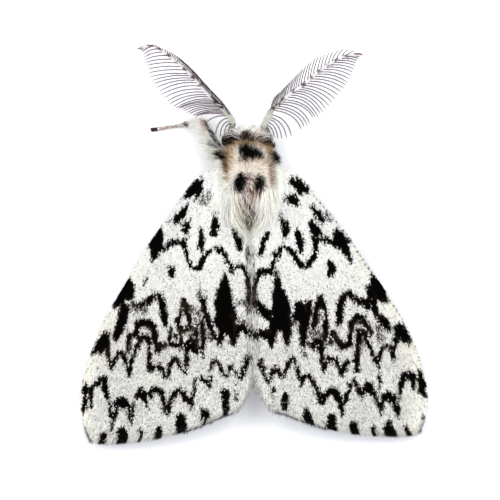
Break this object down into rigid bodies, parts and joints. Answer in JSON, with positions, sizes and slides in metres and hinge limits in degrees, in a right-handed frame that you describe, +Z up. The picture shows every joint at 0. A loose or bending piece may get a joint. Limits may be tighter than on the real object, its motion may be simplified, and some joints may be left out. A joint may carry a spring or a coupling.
{
  "type": "black arches moth",
  "caption": "Life-size still model of a male black arches moth at rest: white wings with black zigzag lines closed like a low roof, furry white thorax, black eyes and broad feathered feelers.",
  "frame": {"origin": "on the ground under the middle of the moth's outline", "axes": "+Y forward along the body to the head, +X to the moth's right, +Z up, feet on z = 0"},
  "size_m": [0.024, 0.0278, 0.0059],
  "materials": {
    "white_fur": "long soft white hair-scales",
    "head_fur": "short dark brown and ochre hair-scales",
    "eye": "glossy black",
    "wing_scales": "fine dry scales, white with black and brown zigzag lines and spots",
    "hindwing_scales": "fine dry grey scales",
    "feeler": "dark brown rays on a pale spotted shaft",
    "leg_scales": "scaly, white and grey-brown in bands"
  },
  "bodies": {
    "root": {"thorax": "white_fur", "abdomen": "white_fur", "head": "head_fur", "eye_left": "eye", "eye_right": "eye", "palp_left": "leg_scales", "palp_right": "leg_scales", "antenna_left": "feeler", "antenna_right": "feeler", "forewing_left": "wing_scales", "forewing_right": "wing_scales", "hindwing_left": "hindwing_scales", "hindwing_right": "hindwing_scales", "foreleg_left": "leg_scales", "foreleg_right": "leg_scales", "midleg_left": "leg_scales", "midleg_right": "leg_scales", "hindleg_left": "leg_scales", "hindleg_right": "leg_scales"}
  },
  "joints": []
}
